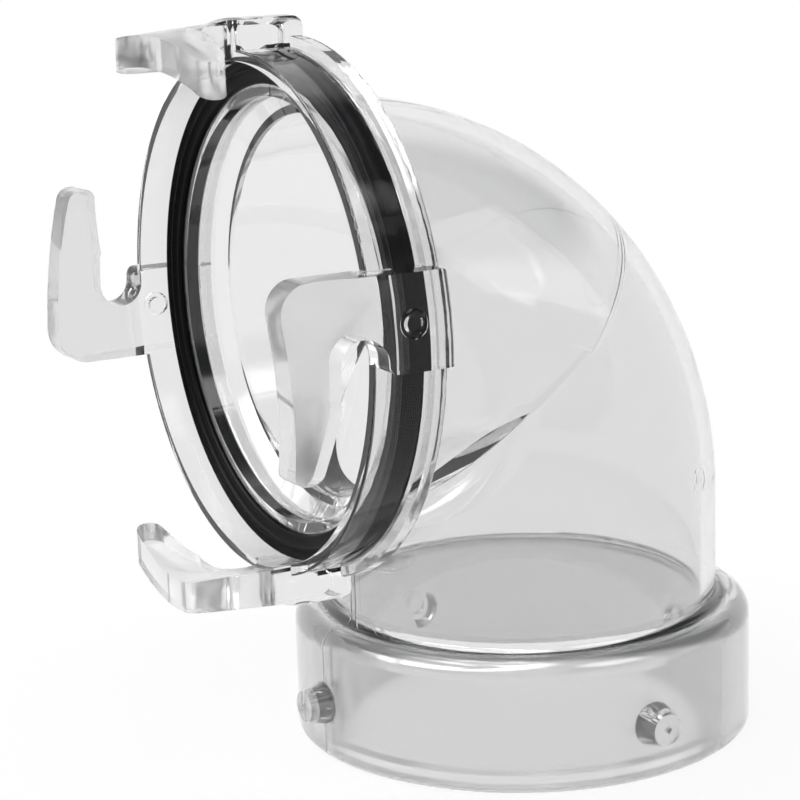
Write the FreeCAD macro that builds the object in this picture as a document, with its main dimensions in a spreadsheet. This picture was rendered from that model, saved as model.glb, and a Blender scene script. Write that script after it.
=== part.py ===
import FreeCAD, Part
import Sketcher
import math
import os

# A clear right-angle elbow that joins a hose to a 3 inch waste outlet.
# The lower leg stands on the origin, along Z. The inlet leg points along -X.
# Every size below is in millimetres, and each one can be changed by itself.

SIZES = [
    # Tube: outside radius of 3 inch drain pipe, wall, and the two legs.
    ("tube_radius", 44.45),
    ("tube_wall", 3.2),
    ("inlet_height", 101.5),
    ("inlet_straight", 3.2),
    ("bend_radius", 48.8),
    ("heel_fullness", 0.1),
    ("throat_round", 6.0),
    ("throat_narrowing", 4.5),
    ("throat_sink", 0.1),
    # Foot of the tube, bonded into the collar.
    ("foot_rise", 2.3),
    ("foot_root_fillet", 2.0),
    ("bond_gap", 0.05),
    # Mouth of the tube: nose through the gasket, flange and neck.
    ("nose_depth", 8.0),
    ("nose_rise", 3.45),
    ("nose_rim", 2.5),
    ("nose_edge", 0.6),
    ("flange_depth", 11.7),
    ("flange_gap", 0.6),
    ("flange_thickness", 1.6),
    ("neck_rise", 3.95),
    ("neck_length", 2.0),
    ("neck_taper", 4.4),
    ("throat_rise", 0.95),
    ("throat_depth", 14.0),
    ("throat_taper", 3.0),
    # Collar with four lugs, which another bayonet ring grips.
    ("collar_wall", 5.2),
    ("collar_height", 29.2),
    ("collar_shoulder", 4.2),
    ("collar_edge", 1.4),
    ("ledge_height", 3.0),
    ("ledge_step", 0.5),
    ("lug_height", 12.65),
    ("lug_base_radius", 4.85),
    ("lug_end_radius", 3.5),
    ("lug_length", 5.0),
    ("lug_root", 3.0),
    ("lug_dimple_radius", 0.9),
    ("lug_dimple_depth", 0.6),
    # Bayonet ring: band, back flange and the lip behind the tube's flange.
    ("coupling_gap", 1.2),
    ("ring_wall", 2.3),
    ("ring_length", 15.0),
    ("ring_flange_front", 11.9),
    ("ring_flange_rise", 2.2),
    ("ring_edge", 0.5),
    ("lip_gap", 0.2),
    ("neck_gap", 0.35),
    # Hooks: measured forward from the band, and along it from the middle of the lug.
    ("hook_front_wall", 6.2),
    ("hook_root_wall", 7.9),
    ("pad_wall", 8.7),
    ("pad_step", 1.2),
    ("pad_round", 2.5),
    ("hook_reach", 21.3),
    ("hook_heel", 16.5),
    ("hook_side", 2.4),
    ("hook_heel_round", 6.5),
    ("hook_back_round", 2.0),
    ("finger_length", 23.0),
    ("finger_tip_front", 18.3),
    ("finger_tip_back", 12.0),
    ("finger_tip_round", 2.8),
    ("catch_forward", 9.7),
    ("catch_height", 7.6),
    ("catch_slope", 1.2),
    ("seat_gap", 0.15),
    ("seat_mouth_round", 1.9),
    ("pad_dimple_radius", 3.0),
    ("pad_dimple_depth", 0.6),
    ("pad_dimple_back", 5.5),
    ("pad_dimple_along", 7.0),
    # Gasket in a shallow pocket of the ring's bore, in front of the flange.
    ("pocket_front", 6.7),
    ("pocket_depth", 0.5),
    ("gasket_front", 7.2),
    ("gasket_fit", 0.1),
    ("gasket_gap", 0.25),
    ("gasket_bore_gap", 0.3),
    ("gasket_edge", 0.5),
    ("gasket_bead_inset", 2.3),
    ("gasket_bead_height", 0.4),
]

HOOK_COUNT = 4
LUG_COUNT = 4

doc = FreeCAD.newDocument("hose_elbow")
sheet = doc.addObject("Spreadsheet::Sheet", "dims")


class Length:
    """A size from the sheet, or a sum of sizes: its number and its expression."""

    def __init__(self, value, text):
        self.value = value
        self.text = text

    def __add__(self, other):
        other = length(other)
        return Length(self.value + other.value, f"({self.text} + {other.text})")

    def __sub__(self, other):
        other = length(other)
        return Length(self.value - other.value, f"({self.text} - {other.text})")

    def __mul__(self, factor):
        return Length(self.value * factor, f"({self.text} * {factor})")

    def __neg__(self):
        return Length(-self.value, f"(0 - {self.text})")


def length(value):
    """A plain number as a Length."""
    if isinstance(value, Length):
        return value
    return Length(float(value), f"{value}")


class Sizes:
    """Every driving size of the sheet, by its alias."""


size = Sizes()
for row, (alias, value) in enumerate(SIZES, start=1):
    sheet.set(f"A{row}", alias)
    sheet.set(f"B{row}", f"{value}")
    sheet.setAlias(f"B{row}", alias)
    setattr(size, alias, Length(value, f"dims.{alias}"))
doc.recompute()

# Sizes that follow from the driving ones.
bore_radius = size.tube_radius - size.tube_wall
ledge_radius = bore_radius + size.ledge_step
foot_radius = size.tube_radius + size.foot_rise
socket_radius = foot_radius + size.bond_gap
foot_bottom = size.ledge_height + size.bond_gap
collar_radius = socket_radius + size.collar_wall
ring_bore_radius = collar_radius + size.coupling_gap
nose_radius = size.tube_radius + size.nose_rise
neck_radius = size.tube_radius + size.neck_rise
throat_radius = size.tube_radius + size.throat_rise
flange_radius = ring_bore_radius - size.flange_gap
flange_back = size.flange_depth + size.flange_thickness
neck_end = flange_back + size.neck_length
inlet_reach = size.bend_radius + size.inlet_straight + neck_end
lip_front = flange_back + size.lip_gap
lip_radius = neck_radius + size.neck_gap
ring_outer_radius = ring_bore_radius + size.ring_wall
ring_flange_radius = ring_outer_radius + size.ring_flange_rise
hook_front_radius = ring_bore_radius + size.hook_front_wall
hook_root_radius = ring_bore_radius + size.hook_root_wall
pad_radius = ring_bore_radius + size.pad_wall
pocket_radius = ring_bore_radius + size.pocket_depth
pocket_back = size.flange_depth - size.gasket_gap + size.gasket_fit
gasket_bead_radius = ring_bore_radius - size.gasket_bead_inset
seat_radius = size.lug_base_radius + size.seat_gap


def bind(item, prop, value):
    """Ties a property to the sheet."""
    item.setExpression(prop, length(value).text)


def origin_feature(body, role):
    """A plane or axis of the body's own origin."""
    for feature in body.Origin.OriginFeatures:
        if feature.Role == role:
            return feature
    raise ValueError(role)


def arc_between(start, end, radius, side):
    """Arc from start to end. Side +1 puts the centre on the left of that line, -1 on the right."""
    chord = end - start
    middle = (start + end) * 0.5
    half = chord.Length / 2
    drop = math.sqrt(max(radius ** 2 - half ** 2, 0))
    left = FreeCAD.Vector(-chord.y, chord.x, 0).normalize()
    centre = middle + left * (drop * side)
    bulge = centre - left * (radius * side)
    if side > 0:
        return Part.Arc(start, bulge, end)
    return Part.Arc(end, bulge, start)


def draw_outline(sketch, corners, arcs=None, closed=True):
    """Draws an outline through the corners. Arcs maps a side's number to its radius and side."""
    arcs = arcs or {}
    points = [FreeCAD.Vector(length(x).value, length(y).value, 0) for x, y in corners]
    count = len(points) if closed else len(points) - 1
    for number in range(count):
        start = points[number]
        end = points[(number + 1) % len(points)]
        if number in arcs:
            radius, side = arcs[number]
            sketch.addGeometry(arc_between(start, end, length(radius).value, side), False)
        else:
            sketch.addGeometry(Part.LineSegment(start, end), False)
    for number in range(count):
        first, last = side_ends(sketch, number, points[number])
        if number > 0 or closed:
            _, before = side_ends(sketch, (number - 1) % count, points[(number - 1) % len(points)])
            sketch.addConstraint(Sketcher.Constraint("Coincident", (number - 1) % count, before, number, first))
        fix_point(sketch, number, first, corners[number])
    if not closed:
        _, last = side_ends(sketch, count - 1, points[count - 1])
        fix_point(sketch, count - 1, last, corners[count])
    for number, (radius, side) in arcs.items():
        index = sketch.addConstraint(Sketcher.Constraint("Radius", number, length(radius).value))
        sketch.setExpression(f"Constraints[{index}]", length(radius).text)


def side_ends(sketch, number, start):
    """Which ends of a drawn side come first and last: an arc is stored anticlockwise."""
    curve = sketch.Geometry[number]
    if curve.StartPoint.distanceToPoint(start) < curve.EndPoint.distanceToPoint(start):
        return 1, 2
    return 2, 1


def fix_point(sketch, number, end, corner):
    """Holds a corner at its two coordinates."""
    for kind, value in (("DistanceX", corner[0]), ("DistanceY", corner[1])):
        value = length(value)
        index = sketch.addConstraint(Sketcher.Constraint(kind, -1, 1, number, end, value.value))
        sketch.setExpression(f"Constraints[{index}]", value.text)


def new_body(label, x=None, z=None):
    """A named body, with its origin moved along X and Z."""
    body = doc.addObject("PartDesign::Body", label)
    body.Label = label
    if x is not None:
        bind(body, "Placement.Base.x", x)
    if z is not None:
        bind(body, "Placement.Base.z", z)
    return body


def body_sketch(body, name, role, corners, arcs=None, offset=()):
    """A closed sketch on one of the body's own planes, moved by the offset in that plane's x, y and z."""
    sketch = body.newObject("Sketcher::SketchObject", name)
    sketch.AttachmentSupport = (origin_feature(body, role), [""])
    sketch.MapMode = "FlatFace"
    for way, distance in zip("xyz", offset):
        bind(sketch, f"AttachmentOffset.Base.{way}", distance)
    draw_outline(sketch, corners, arcs)
    return sketch


def turned(body, kind, name, sketch, axis="H_Axis"):
    """A Revolution or Groove of a sketch about one of its axes."""
    feature = body.newObject(f"PartDesign::{kind}", name)
    feature.Profile = sketch
    feature.ReferenceAxis = (sketch, [axis])
    feature.Angle = 360
    sketch.Visibility = False
    return feature


def around(body, name, axis, count, originals=None):
    """Copies features, or the whole body, evenly about an axis."""
    pattern = body.newObject("PartDesign::PolarPattern", name)
    if originals:
        pattern.Originals = originals
    else:
        pattern.TransformMode = "Whole shape"
    pattern.Axis = axis
    pattern.Angle = 360
    pattern.Occurrences = count
    body.Tip = pattern
    return pattern


def rounded(body, name, base, wanted, radius):
    """Rounds the edges of the base that the wanted test picks."""
    doc.recompute()
    names = [f"Edge{number}" for number, edge in enumerate(base.Shape.Edges, start=1) if wanted(edge)]
    feature = body.newObject("PartDesign::Fillet", name)
    feature.Base = (base, names)
    bind(feature, "Radius", radius)
    body.Tip = feature
    return feature


def near(value, target, tolerance=0.02):
    """Whether two lengths are the same, within a tolerance."""
    return abs(value - length(target).value) < tolerance


def free_sketch(name, corners, arcs=None, closed=True):
    """A sketch in the plane of both legs, outside any body: its x is X and its y is Z."""
    sketch = doc.addObject("Sketcher::SketchObject", name)
    sketch.Placement = FreeCAD.Placement(FreeCAD.Vector(), FreeCAD.Rotation(FreeCAD.Vector(1, 0, 0), 90))
    draw_outline(sketch, corners, arcs, closed)
    return sketch


def bend_form(name, radius, bottom, reach):
    """Round rod that follows both legs: mitred at the throat, swept round at the heel."""
    margin = 1.0
    path = free_sketch(f"{name}_path", [(0, bottom), (0, size.inlet_height), (-reach, size.inlet_height)],
                       closed=False)
    ring = doc.addObject("Part::Circle", f"{name}_circle")
    bind(ring, "Radius", radius)
    bind(ring, "Placement.Base.z", bottom)
    rod = doc.addObject("Part::Sweep", f"{name}_mitre")
    rod.Sections = [ring]
    rod.Spine = (path, ["Edge1", "Edge2"])
    rod.Solid = True
    rod.Transition = "Right corner"

    heel = radius + size.heel_fullness
    edge = radius + margin
    section = doc.addObject("Sketcher::SketchObject", f"{name}_heel_section")
    bind(section, "Placement.Base.x", -size.bend_radius)
    bind(section, "Placement.Base.z", size.inlet_height - size.bend_radius)
    draw_outline(
        section,
        [(0, -edge), (size.bend_radius, -edge), (size.bend_radius, -heel), (size.bend_radius + heel, 0),
         (size.bend_radius, heel), (size.bend_radius, edge), (0, edge)],
        {2: (heel, 1), 3: (heel, 1)},
    )
    sweep = doc.addObject("Part::Revolution", f"{name}_heel")
    sweep.Source = section
    sweep.Axis = FreeCAD.Vector(0, -1, 0)
    bind(sweep, "Base.x", -size.bend_radius)
    bind(sweep, "Base.z", size.inlet_height - size.bend_radius)
    sweep.Angle = 90
    sweep.Solid = True

    lower = doc.addObject("Part::Box", f"{name}_lower_space")
    bind(lower, "Length", edge * 2)
    bind(lower, "Width", edge * 2)
    bind(lower, "Height", size.inlet_height - size.bend_radius - bottom + margin)
    bind(lower, "Placement.Base.x", -edge)
    bind(lower, "Placement.Base.y", -edge)
    bind(lower, "Placement.Base.z", bottom - margin)

    side = doc.addObject("Part::Box", f"{name}_side_space")
    bind(side, "Length", reach - size.bend_radius + margin)
    bind(side, "Width", edge * 2)
    bind(side, "Height", edge * 2)
    bind(side, "Placement.Base.x", -reach - margin)
    bind(side, "Placement.Base.y", -edge)
    bind(side, "Placement.Base.z", size.inlet_height - edge)

    space = doc.addObject("Part::MultiFuse", f"{name}_space")
    space.Shapes = [sweep, lower, side]
    form = doc.addObject("Part::MultiCommon", f"{name}_form")
    form.Shapes = [rod, space]
    return form


def throat_form():
    """Quarter of a ring that fills the sharp corner under the bend: a lens of solid plastic on the throat."""
    radius = size.tube_radius - size.throat_narrowing
    turn = radius + size.throat_round
    pivot = size.tube_radius + size.throat_round - size.throat_sink
    section = doc.addObject("Sketcher::SketchObject", "throat_section")
    bind(section, "Placement.Base.x", -pivot)
    bind(section, "Placement.Base.z", size.inlet_height - pivot)
    draw_outline(
        section,
        [(turn, -radius), (turn + radius, 0), (turn, radius), (turn - radius, 0)],
        {side: (radius, 1) for side in range(4)},
    )
    lens = doc.addObject("Part::Revolution", "throat")
    lens.Source = section
    lens.Axis = FreeCAD.Vector(0, -1, 0)
    bind(lens, "Base.x", -pivot)
    bind(lens, "Base.z", size.inlet_height - pivot)
    lens.Angle = 90
    lens.Solid = True
    return lens


def turned_about_inlet(name, corners, arcs=None):
    """A solid of revolution about the inlet axis. Its corners are depth behind the ring's front and radius."""
    section = doc.addObject("Sketcher::SketchObject", f"{name}_section")
    bind(section, "Placement.Base.x", -inlet_reach)
    bind(section, "Placement.Base.z", size.inlet_height)
    draw_outline(section, corners, arcs)
    solid = doc.addObject("Part::Revolution", name)
    solid.Source = section
    solid.Axis = FreeCAD.Vector(1, 0, 0)
    bind(solid, "Base.x", -inlet_reach)
    bind(solid, "Base.z", size.inlet_height)
    solid.Angle = 360
    solid.Solid = True
    return solid


def make_elbow():
    """Clear tube: bend, mouth with nose and flange, and foot."""
    overlap = 1.5
    outside = bend_form("outside", size.tube_radius, foot_bottom, inlet_reach - neck_end)
    mouth = turned_about_inlet(
        "mouth_outside",
        [(size.nose_depth, 0), (size.nose_depth, nose_radius - size.nose_edge),
         (size.nose_depth + size.nose_edge, nose_radius), (size.flange_depth, nose_radius),
         (size.flange_depth, flange_radius), (flange_back, flange_radius),
         (flange_back, neck_radius), (neck_end, neck_radius),
         (neck_end + size.neck_taper, size.tube_radius - 1), (neck_end + size.neck_taper, 0)],
        {1: (size.nose_edge, -1)},
    )
    throat = throat_form()
    foot = doc.addObject("Part::Cylinder", "foot")
    bind(foot, "Radius", foot_radius)
    bind(foot, "Height", size.collar_height - foot_bottom)
    bind(foot, "Placement.Base.z", foot_bottom)
    solid = doc.addObject("Part::MultiFuse", "elbow_outside")
    solid.Shapes = [outside, throat, mouth, foot]
    solid.Refine = True

    bore = bend_form("bore", bore_radius, foot_bottom - overlap, inlet_reach - size.nose_depth + overlap)
    lead_in = turned_about_inlet(
        "mouth_inside",
        [(size.nose_depth - overlap, 0), (size.nose_depth - overlap, nose_radius - size.nose_rim),
         (size.nose_depth, nose_radius - size.nose_rim), (size.throat_depth, throat_radius),
         (size.throat_depth + size.throat_taper, bore_radius - 0.5),
         (size.throat_depth + size.throat_taper, 0)],
    )
    inside = doc.addObject("Part::MultiFuse", "elbow_inside")
    inside.Shapes = [bore, lead_in]
    hollow = doc.addObject("Part::Cut", "elbow_hollow")
    hollow.Base = solid
    hollow.Tool = inside
    hollow.Refine = True
    doc.recompute()

    body = new_body("elbow_body")
    body.BaseFeature = hollow
    doc.recompute()

    def at_root(edge):
        circle = hasattr(edge.Curve, "Radius") and near(edge.Curve.Radius, size.tube_radius)
        return circle and near(edge.BoundBox.ZMin, size.collar_height) and near(edge.BoundBox.ZMax, size.collar_height)

    rounded(body, "root_fillet", body.Tip, at_root, size.foot_root_fillet)
    return body


def make_collar():
    """Clear socket bonded over the foot, with a ledge under it and four tapered lugs."""
    body = new_body("lug_collar")
    section = body_sketch(
        body, "collar_section", "XZ_Plane",
        [(ledge_radius, 0), (collar_radius - size.collar_edge, 0), (collar_radius, size.collar_edge),
         (collar_radius, size.collar_height - size.collar_shoulder),
         (collar_radius - size.collar_shoulder, size.collar_height),
         (socket_radius, size.collar_height), (socket_radius, size.ledge_height),
         (ledge_radius, size.ledge_height)],
        {1: (size.collar_edge, 1), 3: (size.collar_shoulder, 1)},
    )
    turned(body, "Revolution", "collar_ring", section, "V_Axis")
    root = collar_radius - size.lug_root
    end = collar_radius + size.lug_length
    lug_section = body_sketch(
        body, "lug_section", "XY_Plane",
        [(root, 0), (end - size.lug_dimple_depth, 0), (end, size.lug_dimple_radius),
         (end, size.lug_end_radius), (collar_radius, size.lug_base_radius), (root, size.lug_base_radius)],
        offset=(0, 0, size.lug_height),
    )
    lug = turned(body, "Revolution", "lug", lug_section, "H_Axis")
    around(body, "lugs", (origin_feature(body, "Z_Axis"), [""]), LUG_COUNT, [lug])
    return body


def hook_outline():
    """Outline of one hook in plan: depth behind the band's front, and distance against the finger."""
    heel = size.hook_heel
    reach = -size.hook_reach
    tip = -size.finger_length
    seat = -seat_radius
    back = size.ring_length
    corners = [
        (back - size.hook_back_round, heel),
        (reach + size.hook_heel_round, heel),
        (reach, heel - size.hook_heel_round),
        (-size.finger_tip_front, tip + size.finger_tip_round),
        (size.finger_tip_round - size.finger_tip_front, tip),
        (-size.finger_tip_back - size.finger_tip_round, tip),
        (-size.finger_tip_back, tip + size.finger_tip_round),
        (-size.catch_forward, -size.catch_height),
        (seat - seat_radius, size.catch_slope - size.catch_height),
        (seat - seat_radius, 0),
        (seat, seat_radius),
        (seat + seat_radius, 0),
        (seat + seat_radius, size.seat_mouth_round - size.hook_side),
        (seat + seat_radius + size.seat_mouth_round, -size.hook_side),
        (back, -size.hook_side),
        (back, heel - size.hook_back_round),
    ]
    arcs = {
        1: (size.hook_heel_round, 1),
        3: (size.finger_tip_round, 1),
        5: (size.finger_tip_round, 1),
        9: (seat_radius, -1),
        10: (seat_radius, -1),
        12: (size.seat_mouth_round, 1),
        15: (size.hook_back_round, 1),
    }
    return corners, arcs


def make_ring():
    """Clear ring that turns on the mouth: band, back flange, lip and four hooks in one piece."""
    margin = 2.0
    core = lip_radius - margin
    front = -size.hook_reach - margin
    back = size.ring_length + margin
    blank = turned_about_inlet(
        "ring_blank",
        [(0, 0), (0, ring_outer_radius - size.ring_edge), (size.ring_edge, ring_outer_radius),
         (size.ring_flange_front, ring_outer_radius), (size.ring_flange_front, ring_flange_radius),
         (size.ring_length - size.ring_edge, ring_flange_radius),
         (size.ring_length, ring_flange_radius - size.ring_edge), (size.ring_length, 0)],
        {1: (size.ring_edge, -1), 5: (size.ring_edge, -1)},
    )
    thickness = turned_about_inlet(
        "hook_thickness",
        [(front, core), (front, hook_front_radius), (-size.pad_step, hook_root_radius),
         (size.pad_step, pad_radius), (size.ring_length - size.pad_round, pad_radius),
         (size.ring_length, pad_radius - size.pad_round), (size.ring_length, core)],
        {4: (size.pad_round, -1)},
    )
    corners, arcs = hook_outline()
    plan = doc.addObject("Sketcher::SketchObject", "hook_plan")
    bind(plan, "Placement.Base.x", -inlet_reach)
    bind(plan, "Placement.Base.z", size.inlet_height + core)
    draw_outline(plan, corners, arcs)
    block = doc.addObject("Part::Extrusion", "hook_block")
    block.Base = plan
    block.DirMode = "Custom"
    block.Dir = FreeCAD.Vector(0, 0, 1)
    bind(block, "LengthFwd", pad_radius - core + margin)
    block.Solid = True
    form = doc.addObject("Part::MultiCommon", "hook_form")
    form.Shapes = [block, thickness]
    dimple = doc.addObject("Part::Cylinder", "pad_dimple")
    bind(dimple, "Radius", size.pad_dimple_radius)
    bind(dimple, "Height", size.pad_dimple_depth + margin)
    bind(dimple, "Placement.Base.x", size.pad_dimple_back - inlet_reach)
    bind(dimple, "Placement.Base.y", size.pad_dimple_along)
    bind(dimple, "Placement.Base.z", size.inlet_height + pad_radius - size.pad_dimple_depth)
    hook = doc.addObject("Part::Cut", "hook")
    hook.Base = form
    hook.Tool = dimple
    with_hook = doc.addObject("Part::MultiFuse", "ring_and_hook")
    with_hook.Shapes = [blank, hook]
    doc.recompute()

    body = doc.addObject("PartDesign::Body", "bayonet_ring")
    body.Label = "bayonet_ring"
    body.BaseFeature = with_hook
    doc.recompute()
    inside = body_sketch(
        body, "inside_section", "XZ_Plane",
        [(front, 0), (front, ring_bore_radius), (size.pocket_front, ring_bore_radius), (size.pocket_front, pocket_radius),
         (pocket_back, pocket_radius), (pocket_back, ring_bore_radius),
         (lip_front, ring_bore_radius), (lip_front, lip_radius), (back, lip_radius), (back, 0)],
        offset=(-inlet_reach, size.inlet_height),
    )
    around(body, "hooks", (inside, ["H_Axis"]), HOOK_COUNT)
    doc.recompute()
    turned(body, "Groove", "inside", inside)
    doc.recompute()
    return body


def make_gasket():
    """Rubber ring in the bore, round the nose and in front of the flange."""
    body = new_body("gasket", -inlet_reach, size.inlet_height)
    inner = nose_radius + size.gasket_bore_gap
    outer = pocket_radius - size.gasket_fit
    back = size.flange_depth - size.gasket_gap
    edge = size.gasket_edge
    bead = size.gasket_bead_height
    section = body_sketch(
        body, "gasket_section", "XZ_Plane",
        [(size.gasket_front, inner + edge), (size.gasket_front, gasket_bead_radius - bead),
         (size.gasket_front - bead, gasket_bead_radius),
         (size.gasket_front, gasket_bead_radius + bead),
         (size.gasket_front, outer - edge), (size.gasket_front + edge, outer), (back, outer), (back, inner),
         (size.gasket_front + edge, inner)],
        {1: (bead, -1), 2: (bead, -1), 4: (edge, -1), 8: (edge, -1)},
    )
    turned(body, "Revolution", "gasket_ring", section)
    return body


def check(parts):
    """Stops the build if any object failed, or any sub-part isn't one valid solid."""
    for item in doc.Objects:
        if "Invalid" in item.State or "Error" in item.State:
            raise RuntimeError(f"{item.Name} failed: {item.State}")
    for part in parts:
        shape = part.Shape
        if shape.isNull() or not shape.isValid() or len(shape.Solids) != 1:
            raise RuntimeError(f"{part.Label} isn't one valid solid")


def main():
    """Builds each piece, checks it and writes its file."""
    parts = [make_elbow(), make_collar(), make_ring(), make_gasket()]
    doc.recompute()
    check(parts)
    os.makedirs("parts", exist_ok=True)
    for part in parts:
        print(part.Label, "volume", round(part.Shape.Volume), "faces", len(part.Shape.Faces))
        part.Shape.exportStep(f"parts/{part.Label}.step")


main()
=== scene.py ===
"""Looks of a clear right-angle elbow for a waste hose.

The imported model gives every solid. This script dresses them as clear moulded plastic and black
rubber, and sets the camera, lights, floor and backdrop. Lengths are in metres unless a name ends
in _mm or _MM.
"""

import logging
import math
from dataclasses import dataclass, field
from enum import Enum

import bmesh
import bpy
from mathutils import Matrix, Vector


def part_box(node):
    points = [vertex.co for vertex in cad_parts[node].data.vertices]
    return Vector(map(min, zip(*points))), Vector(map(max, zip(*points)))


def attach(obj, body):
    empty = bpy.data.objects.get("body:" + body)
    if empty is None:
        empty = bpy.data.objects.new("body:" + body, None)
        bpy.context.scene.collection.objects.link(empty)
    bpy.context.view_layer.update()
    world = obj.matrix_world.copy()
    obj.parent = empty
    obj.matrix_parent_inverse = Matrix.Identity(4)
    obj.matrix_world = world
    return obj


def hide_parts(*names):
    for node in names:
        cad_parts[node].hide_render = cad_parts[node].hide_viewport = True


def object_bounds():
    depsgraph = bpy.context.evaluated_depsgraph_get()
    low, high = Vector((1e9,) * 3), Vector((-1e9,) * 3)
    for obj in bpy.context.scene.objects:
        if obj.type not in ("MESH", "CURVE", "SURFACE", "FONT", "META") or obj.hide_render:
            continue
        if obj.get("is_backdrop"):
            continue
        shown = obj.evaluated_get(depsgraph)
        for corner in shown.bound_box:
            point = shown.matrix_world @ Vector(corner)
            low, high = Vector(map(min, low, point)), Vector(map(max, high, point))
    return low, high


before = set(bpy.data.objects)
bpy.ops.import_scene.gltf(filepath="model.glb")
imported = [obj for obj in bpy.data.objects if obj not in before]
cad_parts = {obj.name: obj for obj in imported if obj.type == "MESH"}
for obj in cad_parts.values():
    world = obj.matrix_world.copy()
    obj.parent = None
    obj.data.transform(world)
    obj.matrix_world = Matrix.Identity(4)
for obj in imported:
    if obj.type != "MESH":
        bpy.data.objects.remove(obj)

LOG = logging.getLogger("waste_hose_elbow")
MM = 0.001

# Height of the inlet's axis above the collar's bottom face.
BEND_HEIGHT_MM = 101.5

# Sockets of the mix node for numbers and for colours, which share their names.
MIX_FACTOR = 0
MIX_FIRST_NUMBER = 2
MIX_SECOND_NUMBER = 3
MIX_FIRST_COLOUR = 6
MIX_SECOND_COLOUR = 7
MIXED_NUMBER = 0
MIXED_COLOUR = 2

WHITE = (1.0, 1.0, 1.0, 1.0)


class Slot(Enum):
    """Material slots of the record."""

    ELBOW = "clear_elbow"
    COLLAR = "clear_collar"
    RING = "clear_ring"
    GASKET = "black_rubber"


def srgb_to_linear(colour: str) -> tuple[float, float, float, float]:
    """Turns an sRGB hex colour to linear light.

    Args:
        colour: Six hex digits, with or without a leading hash.

    Returns:
        Red, green, blue and an alpha of 1.
    """
    digits = colour.lstrip("#")
    channels = [int(digits[place:place + 2], 16) / 255 for place in (0, 2, 4)]
    linear = [c / 12.92 if c <= 0.04045 else ((c + 0.055) / 1.055) ** 2.4 for c in channels]
    return (*linear, 1.0)


def add_node(
    tree: bpy.types.NodeTree,
    kind: str,
    settings: dict[str, object] | None = None,
    inputs: dict[str, object] | None = None,
    links: dict[str, bpy.types.NodeSocket] | None = None,
) -> bpy.types.Node:
    """Adds a node with its settings, input values and links.

    Args:
        tree: The node tree that gets the node.
        kind: Blender's name for the node's type.
        settings: Properties of the node by name.
        inputs: Values of its input sockets, by name or number.
        links: Output sockets to link to its inputs, by the input's name or number.

    Returns:
        The new node.
    """
    node = tree.nodes.new(kind)
    for name, value in (settings or {}).items():
        setattr(node, name, value)
    for name, value in (inputs or {}).items():
        node.inputs[name].default_value = value
    for name, source in (links or {}).items():
        tree.links.new(source, node.inputs[name])
    return node


def smooth_step(
    tree: bpy.types.NodeTree,
    value: bpy.types.NodeSocket,
    start: float,
    end: float,
    low: float = 0.0,
    high: float = 1.0,
) -> bpy.types.NodeSocket:
    """Leads a value smoothly from one level to another.

    Args:
        tree: The node tree that gets the step.
        value: The value that runs from start to end.
        start: Where the step begins.
        end: Where the step is done.
        low: Level before the step.
        high: Level after the step.

    Returns:
        The socket with the level.
    """
    step = add_node(
        tree, "ShaderNodeMapRange", {"interpolation_type": "SMOOTHSTEP"},
        {"From Min": start, "From Max": end, "To Min": low, "To Max": high}, {"Value": value},
    )
    return step.outputs["Result"]


@dataclass(frozen=True)
class Groove:
    """A fine moulded line where a surface crosses a flat plane."""

    normal: tuple[float, float, float]
    offset_mm: float
    half_width_mm: float
    only_towards: tuple[float, float, float] | None = None
    depth_mm: float = 0.05

    def height(self, tree: bpy.types.NodeTree, place: bpy.types.NodeSocket) -> bpy.types.NodeSocket:
        """Makes the line's profile: 1 in its middle, 0 beside it.

        Args:
            tree: The material's node tree.
            place: Position on the object, in metres.

        Returns:
            The socket with the profile.
        """
        along = add_node(
            tree, "ShaderNodeVectorMath", {"operation": "DOT_PRODUCT"}, {1: self.normal}, {0: place},
        )
        away = add_node(
            tree, "ShaderNodeMath", {"operation": "SUBTRACT"},
            {1: self.offset_mm * MM}, {0: along.outputs["Value"]},
        )
        distance = add_node(
            tree, "ShaderNodeMath", {"operation": "ABSOLUTE"}, links={0: away.outputs["Value"]},
        )
        line = smooth_step(tree, distance.outputs["Value"], 0.0, self.half_width_mm * MM, 1.0, 0.0)
        if self.only_towards is None:
            return line
        side = add_node(
            tree, "ShaderNodeVectorMath", {"operation": "DOT_PRODUCT"}, {1: self.only_towards}, {0: place},
        )
        shown = add_node(
            tree, "ShaderNodeMath", {"operation": "GREATER_THAN"}, {1: 0.0}, {0: side.outputs["Value"]},
        )
        kept = add_node(
            tree, "ShaderNodeMath", {"operation": "MULTIPLY"}, links={0: line, 1: shown.outputs["Value"]},
        )
        return kept.outputs["Value"]


@dataclass(frozen=True)
class PinMark:
    """A round mark of an ejector pin, with a raised rim."""

    centre_mm: tuple[float, float, float]
    radius_mm: float
    rim_mm: float = 0.5
    depth_mm: float = 0.05

    def height(self, tree: bpy.types.NodeTree, place: bpy.types.NodeSocket) -> bpy.types.NodeSocket:
        """Makes the mark's profile: 1 on its rim, 0 elsewhere.

        Args:
            tree: The material's node tree.
            place: Position on the object, in metres.

        Returns:
            The socket with the profile.
        """
        centre = tuple(value * MM for value in self.centre_mm)
        reach = add_node(tree, "ShaderNodeVectorMath", {"operation": "DISTANCE"}, {1: centre}, {0: place})
        away = add_node(
            tree, "ShaderNodeMath", {"operation": "SUBTRACT"},
            {1: self.radius_mm * MM}, {0: reach.outputs["Value"]},
        )
        distance = add_node(
            tree, "ShaderNodeMath", {"operation": "ABSOLUTE"}, links={0: away.outputs["Value"]},
        )
        return smooth_step(tree, distance.outputs["Value"], 0.0, self.rim_mm * MM, 1.0, 0.0)


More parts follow.
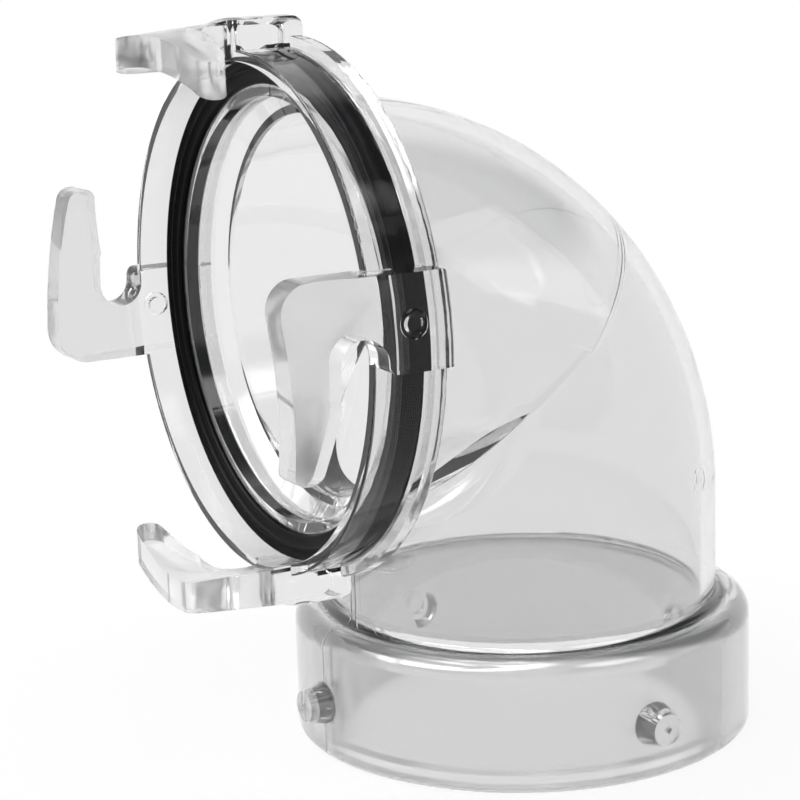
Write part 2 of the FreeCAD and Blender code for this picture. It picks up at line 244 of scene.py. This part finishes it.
@dataclass(frozen=True)
class Zone:
    """Where a surface's finish changes: beyond a distance measured from the origin along some axes."""

    axes: tuple[float, float, float]
    starts_mm: float
    full_mm: float
    clearness: float
    roughness: float

    def amount(self, tree: bpy.types.NodeTree, place: bpy.types.NodeSocket) -> bpy.types.NodeSocket:
        """Makes the zone's mask: 1 in the zone, 0 outside it.

        Args:
            tree: The material's node tree.
            place: Position on the object, in metres.

        Returns:
            The socket with the mask.
        """
        along = add_node(
            tree, "ShaderNodeVectorMath", {"operation": "MULTIPLY"}, {1: self.axes}, {0: place},
        )
        reach = add_node(
            tree, "ShaderNodeVectorMath", {"operation": "LENGTH"}, links={0: along.outputs["Vector"]},
        )
        return smooth_step(tree, reach.outputs["Value"], self.starts_mm * MM, self.full_mm * MM)


@dataclass(frozen=True)
class ClearPolycarbonate:
    """Clear polycarbonate, injection moulded: glossy, with slow waves, lines and marks of its mould.

    The eye sees pale grey straight-through views, darker lines where a wall is seen along its length,
    and a faint milkiness in thick places. The tint is the colour of one pass through a surface, the
    clearness is the share of light that goes through, and the sheen weakens the mirror of a face seen
    straight on. The waves are the sink marks of the moulding, far apart and shallow.
    """

    name: str
    tint: str
    clearness: float
    roughness: float = 0.03
    sheen: str = "#ffffff"
    coat: float = 0.0
    coat_roughness: float = 0.03
    milkiness_mm: float = 0.0
    ior: float = 1.585
    wave_mm: float = 14.0
    wave_depth_mm: float = 0.03
    wave_detail: float = 1.0
    wave_roughness: float = 0.4
    marks: tuple[Groove | PinMark, ...] = ()
    zone: Zone | None = None

    def build(self) -> bpy.types.Material:
        """Makes the material.

        Returns:
            The new material.
        """
        material = bpy.data.materials.new(self.name)
        material.use_nodes = True
        tree = material.node_tree
        tree.nodes.clear()
        place = add_node(tree, "ShaderNodeTexCoord").outputs["Object"]
        waves = add_node(
            tree, "ShaderNodeTexNoise",
            inputs={
                "Scale": 1 / (self.wave_mm * MM),
                "Detail": self.wave_detail,
                "Roughness": self.wave_roughness,
            },
            links={"Vector": place},
        )
        bump = add_node(
            tree, "ShaderNodeBump",
            inputs={"Distance": self.wave_depth_mm * MM},
            links={"Height": waves.outputs["Fac"]},
        )
        for mark in self.marks:
            bump = add_node(
                tree, "ShaderNodeBump",
                inputs={"Distance": mark.depth_mm * MM},
                links={"Height": mark.height(tree, place), "Normal": bump.outputs["Normal"]},
            )
        shader = add_node(
            tree, "ShaderNodeBsdfPrincipled",
            inputs={
                "Base Color": srgb_to_linear(self.tint),
                "Roughness": self.roughness,
                "IOR": self.ior,
                "Transmission Weight": self.clearness,
                "Specular Tint": srgb_to_linear(self.sheen),
                "Subsurface Weight": 1.0 if self.milkiness_mm else 0.0,
                "Subsurface Radius": (1.0, 1.0, 1.0),
                "Subsurface Scale": self.milkiness_mm * MM,
                "Coat Weight": self.coat,
                "Coat Roughness": self.coat_roughness,
                "Coat IOR": self.ior,
            },
            links={"Normal": bump.outputs["Normal"]},
        )
        if self.zone:
            mask = self.zone.amount(tree, place)
            for name, usual, special in (
                ("Transmission Weight", self.clearness, self.zone.clearness),
                ("Roughness", self.roughness, self.zone.roughness),
            ):
                mixed = add_node(
                    tree, "ShaderNodeMix",
                    inputs={MIX_FIRST_NUMBER: usual, MIX_SECOND_NUMBER: special},
                    links={MIX_FACTOR: mask},
                )
                tree.links.new(mixed.outputs[MIXED_NUMBER], shader.inputs[name])
        add_node(tree, "ShaderNodeOutputMaterial", links={"Surface": shader.outputs["BSDF"]})
        return material


@dataclass(frozen=True)
class MouldedRubber:
    """Black EPDM rubber, moulded: deep black and satin, with a fine even grain.

    The real grain is finer than the render can show, so it is drawn 0.5 mm wide and very shallow.
    """

    name: str = "black_moulded_rubber"
    colour: str = "#040405"
    roughness: float = 0.45
    gloss: float = 0.06
    grain_mm: float = 0.5
    grain_depth_mm: float = 0.02
    grain_strength: float = 0.05
    grain_detail: float = 3.0

    def build(self) -> bpy.types.Material:
        """Makes the material.

        Returns:
            The new material.
        """
        material = bpy.data.materials.new(self.name)
        material.use_nodes = True
        tree = material.node_tree
        tree.nodes.clear()
        place = add_node(tree, "ShaderNodeTexCoord")
        grain = add_node(
            tree, "ShaderNodeTexNoise",
            inputs={"Scale": 1 / (self.grain_mm * MM), "Detail": self.grain_detail},
            links={"Vector": place.outputs["Object"]},
        )
        bump = add_node(
            tree, "ShaderNodeBump",
            inputs={"Strength": self.grain_strength, "Distance": self.grain_depth_mm * MM},
            links={"Height": grain.outputs["Fac"]},
        )
        shader = add_node(
            tree, "ShaderNodeBsdfPrincipled",
            inputs={
                "Base Color": srgb_to_linear(self.colour),
                "Roughness": self.roughness,
                "Specular IOR Level": self.gloss,
            },
            links={"Normal": bump.outputs["Normal"]},
        )
        add_node(tree, "ShaderNodeOutputMaterial", links={"Surface": shader.outputs["BSDF"]})
        return material


@dataclass
class MouldedPiece:
    """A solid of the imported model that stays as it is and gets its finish."""

    node: str
    slot: Slot
    finish: ClearPolycarbonate

    def dress(self) -> bpy.types.Object:
        """Gives the node its finish.

        Returns:
            The dressed object.
        """
        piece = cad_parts[self.node]
        piece.data.materials.clear()
        piece.data.materials.append(self.finish.build())
        LOG.info("dressed %s", piece.name)
        return piece


@dataclass
class SqueezedGasket:
    """The rubber ring as it sits: bedded in the ring's pocket and stretched over the tube's nose.

    It takes its place and reach from the CAD ring. Its cross-section has a heel that fills the
    pocket's front corner, a face with one sealing bead and a rounded inner edge, and its bore grips
    the nose, so that no light passes between rubber and plastic.
    """

    node: str = "gasket"
    body: str = "swivel_ring"
    height_mm: float = 5.4
    grip_mm: float = 0.32
    bedding_mm: float = 0.17
    edge_mm: float = 0.7
    bead_mm: float = 0.4
    bead_place: float = 0.52
    heel_mm: float = 0.12
    heel_height_mm: float = 0.62
    turns: int = 256
    arc_steps: int = 6
    finish: MouldedRubber = field(default_factory=MouldedRubber)

    def profile(self, front: float, back: float, outer: float) -> list[tuple[float, float]]:
        """Works out the cross-section.

        Args:
            front: Where the bead's crest lies along X.
            back: Where the back face lies along X.
            outer: The CAD ring's outside radius.

        Returns:
            Points of X and radius, once round the section.
        """
        rim = outer + self.bedding_mm * MM
        bore = outer - self.height_mm * MM - self.grip_mm * MM
        edge = self.edge_mm * MM
        bead = self.bead_mm * MM
        face = front + bead
        crest = bore + (rim - bore) * self.bead_place
        heel = front - self.heel_mm * MM
        points = [(back, bore), (back, rim), (heel, rim), (heel, rim - self.heel_height_mm * MM)]
        points.append((face, rim - 2 * self.heel_height_mm * MM))
        points += self.arc(face, crest, bead, 90, 270)
        points += self.arc(face + edge, bore + edge, edge, 180, 270)
        return points

    def arc(
        self, x: float, radius: float, size: float, start: float, end: float,
    ) -> list[tuple[float, float]]:
        """Works out a round stretch of the section.

        Args:
            x: The arc's middle along X.
            radius: The arc's middle, as a radius from the ring's axis.
            size: The arc's own radius.
            start: Angle of its first point, in degrees from +X towards a larger radius.
            end: Angle of its last point.

        Returns:
            Points of X and radius.
        """
        steps = range(self.arc_steps + 1)
        angles = [math.radians(start + (end - start) * step / self.arc_steps) for step in steps]
        return [(x + size * math.cos(angle), radius + size * math.sin(angle)) for angle in angles]

    def build(self) -> bpy.types.Object:
        """Makes the ring, which takes the CAD gasket's place.

        Returns:
            The new object.
        """
        low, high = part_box(self.node)
        middle = (low[2] + high[2]) / 2
        section = self.profile(low[0], high[0], (high[2] - low[2]) / 2)
        work = bmesh.new()
        rings = []
        for number in range(self.turns):
            turn = 2 * math.pi * number / self.turns
            ring = [
                work.verts.new((x, radius * math.sin(turn), middle + radius * math.cos(turn)))
                for x, radius in section
            ]
            rings.append(ring)
        for first, second in zip(rings, rings[1:] + rings[:1]):
            for place in range(len(section)):
                after = (place + 1) % len(section)
                work.faces.new((first[place], first[after], second[after], second[place]))
        bmesh.ops.recalc_face_normals(work, faces=work.faces)
        mesh = bpy.data.meshes.new("squeezed_gasket")
        work.to_mesh(mesh)
        work.free()
        mesh.shade_smooth()
        mesh.materials.append(self.finish.build())
        gasket = bpy.data.objects.new("squeezed_gasket", mesh)
        bpy.context.scene.collection.objects.link(gasket)
        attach(gasket, self.body)
        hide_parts(self.node)
        LOG.info("built %s", gasket.name)
        return gasket


@dataclass(frozen=True)
class Softbox:
    """A round soft-edged light in the world, brighter in highlights than in the light it sheds."""

    towards: tuple[float, float, float]
    edge_cosine: float
    full_cosine: float
    strength: float
    gloss: float

    def add_to(
        self,
        tree: bpy.types.NodeTree,
        place: bpy.types.NodeSocket,
        room: bpy.types.NodeSocket,
        glossy: bpy.types.NodeSocket,
    ) -> bpy.types.NodeSocket:
        """Lays the softbox over the room.

        Args:
            tree: The world's node tree.
            place: Direction looked in.
            room: Colour of the room behind the softbox.
            glossy: 1 for a ray that makes a highlight.

        Returns:
            The socket with the colour of both.
        """
        facing = Vector(self.towards).normalized()
        along = add_node(
            tree, "ShaderNodeVectorMath", {"operation": "DOT_PRODUCT"}, {1: facing}, {0: place},
        )
        shape = smooth_step(tree, along.outputs["Value"], self.edge_cosine, self.full_cosine)
        light = add_node(
            tree, "ShaderNodeMix", {"data_type": "RGBA"},
            {MIX_FIRST_COLOUR: (*[self.strength] * 3, 1), MIX_SECOND_COLOUR: (*[self.gloss] * 3, 1)},
            {MIX_FACTOR: glossy},
        )
        both = add_node(
            tree, "ShaderNodeMix", {"data_type": "RGBA"},
            links={
                MIX_FACTOR: shape,
                MIX_FIRST_COLOUR: room,
                MIX_SECOND_COLOUR: light.outputs[MIXED_COLOUR],
            },
        )
        return both.outputs[MIXED_COLOUR]


@dataclass(frozen=True)
class SoftLamp:
    """A square area lamp that points at the object."""

    name: str
    place: tuple[float, float, float]
    power: float
    width: float

    def build(self, target: Vector) -> None:
        """Makes the lamp.

        Args:
            target: Where it points.
        """
        lamp = bpy.data.lights.new(self.name, "AREA")
        lamp.energy = self.power
        lamp.size = self.width
        holder = bpy.data.objects.new(self.name, lamp)
        holder.location = self.place
        holder.rotation_euler = (target - Vector(self.place)).to_track_quat("-Z", "Y").to_euler()
        bpy.context.scene.collection.objects.link(holder)


@dataclass
class Studio:
    """White backdrop, pale floor, soft lamps, and the camera where the photograph was taken.

    The room is white behind the object and round the horizon, and dark high up in front of it. Its
    limits are heights and depths of the direction looked in, from 0 to 1.
    """

    camera_place: Vector = field(default_factory=lambda: Vector((-0.28609, -0.44931, 0.19517)))
    camera_target: Vector = field(default_factory=lambda: Vector((-0.030443, 0.0, 0.078235)))
    camera_roll: float = math.radians(-1.708)
    lens_mm: float = 108.63
    sensor_mm: float = 36.0
    clip: tuple[float, float] = (0.01, 20.0)
    floor_colour: str = "#f4f4f4"
    floor_radius: float = 3.0
    floor_sides: int = 96
    floor_gap_mm: float = 0.1
    shadow_reach: float = 0.06
    plain_reach: float = 0.15
    glow_near: float = 0.9
    dark_wall: str = "#3f444d"
    white_below: float = 0.30
    dark_above: float = 0.45
    sweep_from: float = 0.15
    sweep_to: float = 0.45
    softboxes: tuple[Softbox, ...] = (
        Softbox((-0.42, 0.12, 0.88), 0.80, 0.88, 1.4, 12.0),
        Softbox((0.28, -0.55, 0.78), 0.965, 0.985, 2.0, 4.0),
    )
    lamp_target: Vector = field(default_factory=lambda: Vector((-0.02, 0, 0.08)))
    lamps: tuple[SoftLamp, ...] = (
        SoftLamp("key_lamp", (-0.6, -0.8, 1.1), power=3.0, width=1.1),
        SoftLamp("fill_lamp", (1.0, -0.8, 0.7), power=1.5, width=0.8),
    )

    def build(self) -> None:
        """Makes the world, floor, lamps and camera."""
        self.make_world()
        self.make_floor()
        for lamp in self.lamps:
            lamp.build(self.lamp_target)
        self.make_camera()
        bpy.context.scene.view_settings.view_transform = "Standard"

    def make_world(self) -> None:
        """Makes the room with its softboxes, and plain white where the camera looks past the object.

        Highlights show a softbox brighter than it lights the surfaces, as a small strong lamp would.
        """
        world = bpy.data.worlds.new("studio")
        world.use_nodes = True
        bpy.context.scene.world = world
        tree = world.node_tree
        tree.nodes.clear()
        place = add_node(tree, "ShaderNodeTexCoord").outputs["Generated"]
        parts = add_node(tree, "ShaderNodeSeparateXYZ", links={"Vector": place})
        wall = smooth_step(tree, parts.outputs["Z"], self.white_below, self.dark_above)
        front = smooth_step(tree, parts.outputs["Y"], self.sweep_from, self.sweep_to, 1.0, 0.0)
        dark = add_node(tree, "ShaderNodeMath", {"operation": "MULTIPLY"}, links={0: wall, 1: front})
        room = add_node(
            tree, "ShaderNodeMix", {"data_type": "RGBA"},
            {MIX_FIRST_COLOUR: WHITE, MIX_SECOND_COLOUR: srgb_to_linear(self.dark_wall)},
            {MIX_FACTOR: dark.outputs["Value"]},
        )
        rays = add_node(tree, "ShaderNodeLightPath")
        lit = room.outputs[MIXED_COLOUR]
        for softbox in self.softboxes:
            lit = softbox.add_to(tree, place, lit, rays.outputs["Is Glossy Ray"])
        seen = add_node(
            tree, "ShaderNodeMix", {"data_type": "RGBA"}, {MIX_SECOND_COLOUR: WHITE},
            {MIX_FACTOR: rays.outputs["Is Camera Ray"], MIX_FIRST_COLOUR: lit},
        )
        background = add_node(
            tree, "ShaderNodeBackground",
            inputs={"Strength": 1.0}, links={"Color": seen.outputs[MIXED_COLOUR]},
        )
        add_node(tree, "ShaderNodeOutputWorld", links={"Surface": background.outputs["Background"]})

    def make_floor(self) -> None:
        """Makes a round white floor that keeps a soft shadow near the object and fades to plain white."""
        mesh = bpy.data.meshes.new("floor")
        rim = [
            (self.floor_radius * math.cos(turn), self.floor_radius * math.sin(turn), 0)
            for turn in (2 * math.pi * number / self.floor_sides for number in range(self.floor_sides))
        ]
        mesh.from_pydata(rim, [], [tuple(range(self.floor_sides))])
        floor = bpy.data.objects.new("floor", mesh)
        bpy.context.scene.collection.objects.link(floor)
        low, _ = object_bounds()
        floor.location = (0, 0, low.z - self.floor_gap_mm * MM)
        mesh.materials.append(self.paper())
        floor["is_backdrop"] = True

    def paper(self) -> bpy.types.Material:
        """Makes the floor's white paper, which glows a little and fully so away from the object.

        Returns:
            The new material.
        """
        material = bpy.data.materials.new("white_paper_sweep")
        material.use_nodes = True
        tree = material.node_tree
        tree.nodes.clear()
        paper = add_node(tree, "ShaderNodeBsdfDiffuse", inputs={"Color": srgb_to_linear(self.floor_colour)})
        glow = add_node(tree, "ShaderNodeEmission", inputs={"Strength": 1.0})
        place = add_node(tree, "ShaderNodeTexCoord")
        reach = add_node(
            tree, "ShaderNodeVectorMath", {"operation": "LENGTH"}, links={0: place.outputs["Object"]},
        )
        far = smooth_step(
            tree, reach.outputs["Value"], self.shadow_reach, self.plain_reach, self.glow_near, 1.0,
        )
        mix = add_node(
            tree, "ShaderNodeMixShader",
            links={0: far, 1: paper.outputs["BSDF"], 2: glow.outputs["Emission"]},
        )
        add_node(tree, "ShaderNodeOutputMaterial", links={"Surface": mix.outputs["Shader"]})
        return material

    def make_camera(self) -> None:
        """Makes the camera, tilted slightly about its own axis as the photograph is."""
        forward = (self.camera_target - self.camera_place).normalized()
        level_right = forward.cross(Vector((0, 0, 1))).normalized()
        level_up = level_right.cross(forward)
        right = level_right * math.cos(self.camera_roll) + level_up * math.sin(self.camera_roll)
        up = level_up * math.cos(self.camera_roll) - level_right * math.sin(self.camera_roll)
        data = bpy.data.cameras.new("camera")
        data.lens = self.lens_mm
        data.sensor_width = self.sensor_mm
        data.clip_start, data.clip_end = self.clip
        camera = bpy.data.objects.new("camera", data)
        rotation = Matrix((right, up, -forward)).transposed()
        camera.matrix_world = Matrix.Translation(self.camera_place) @ rotation.to_4x4()
        bpy.context.scene.collection.objects.link(camera)
        bpy.context.scene.camera = camera


# Mould lines: the mitre where the two legs' cores meet, and the parting line down the front.
MITRE = Groove(
    (-1 / math.sqrt(2), 0.0, 1 / math.sqrt(2)), BEND_HEIGHT_MM / math.sqrt(2), half_width_mm=0.35,
)
PARTING_LINE = Groove(
    (0.0, 1.0, 0.0), 0.0, half_width_mm=0.35, only_towards=(-1.0, 0.0, 0.0), depth_mm=0.25,
)

# Faint ejector marks on the tube, where the photograph shows them.
TUBE_PINS = (
    PinMark((-39.9, -19.6, 38.7), radius_mm=2.7, depth_mm=0.02),
    PinMark((22.6, -38.2, 59.9), radius_mm=2.9, depth_mm=0.03),
    PinMark((-5.9, -40.2, 105.6), radius_mm=3.2, depth_mm=0.03),
)

# One deeper round mark on each hook's pad: its distance along the ring's axis, from the axis, and
# sideways from the hook's seat.
PAD_MARK_X_MM = -61.8
PAD_MARK_OUT_MM = 61.9
PAD_MARK_SIDE_MM = 7.0
HOOK_DIRECTIONS = ((1, 0), (0, -1), (-1, 0), (0, 1))
PAD_MARKS = tuple(
    PinMark(
        (
            PAD_MARK_X_MM,
            across * PAD_MARK_OUT_MM + up * PAD_MARK_SIDE_MM,
            BEND_HEIGHT_MM + up * PAD_MARK_OUT_MM - across * PAD_MARK_SIDE_MM,
        ),
        radius_mm=2.3, rim_mm=0.9, depth_mm=0.35,
    )
    for up, across in HOOK_DIRECTIONS
)

# Polished inside and out: the wall shows mostly as darker edges and soft reflections.
TUBE_FINISH = ClearPolycarbonate(
    "clear_polycarbonate_tube", "#ededed", clearness=0.98, marks=(MITRE, PARTING_LINE, *TUBE_PINS),
)

# Moulded against a fine satin tool, so its thick wall reads as an even pale grey with a soft gloss.
# The lugs, outside the collar's own radius of 52 mm, are polished and clear.
COLLAR_FINISH = ClearPolycarbonate(
    "satin_polycarbonate_collar", "#e7e7e7", clearness=0.86, roughness=0.12, coat=0.6, milkiness_mm=6.0,
    marks=(PARTING_LINE,), zone=Zone((1, 1, 0), 52.0, 52.4, clearness=0.97, roughness=0.03),
)

# Polished band and flange, so that the rubber behind them shows black, and hooks in front of the
# band, beyond 68 mm along X, with a faint frost that hides what lies behind them.
RING_FINISH = ClearPolycarbonate(
    "clear_polycarbonate_ring", "#eaeaea", clearness=0.99, sheen="#8c8c8c",
    wave_mm=7.0, wave_depth_mm=0.10,
    marks=PAD_MARKS, zone=Zone((1, 0, 0), 67.8, 70.5, clearness=0.88, roughness=0.13),
)

MOULDED_PIECES = (
    MouldedPiece("elbow_body", Slot.ELBOW, TUBE_FINISH),
    MouldedPiece("lug_collar", Slot.COLLAR, COLLAR_FINISH),
    MouldedPiece("bayonet_ring", Slot.RING, RING_FINISH),
)


def main() -> None:
    """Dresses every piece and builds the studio."""
    logging.basicConfig(level=logging.INFO)
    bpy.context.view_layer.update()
    for piece in MOULDED_PIECES:
        piece.dress()
    SqueezedGasket().build()
    Studio().build()


if __name__ == "__main__":
    main()
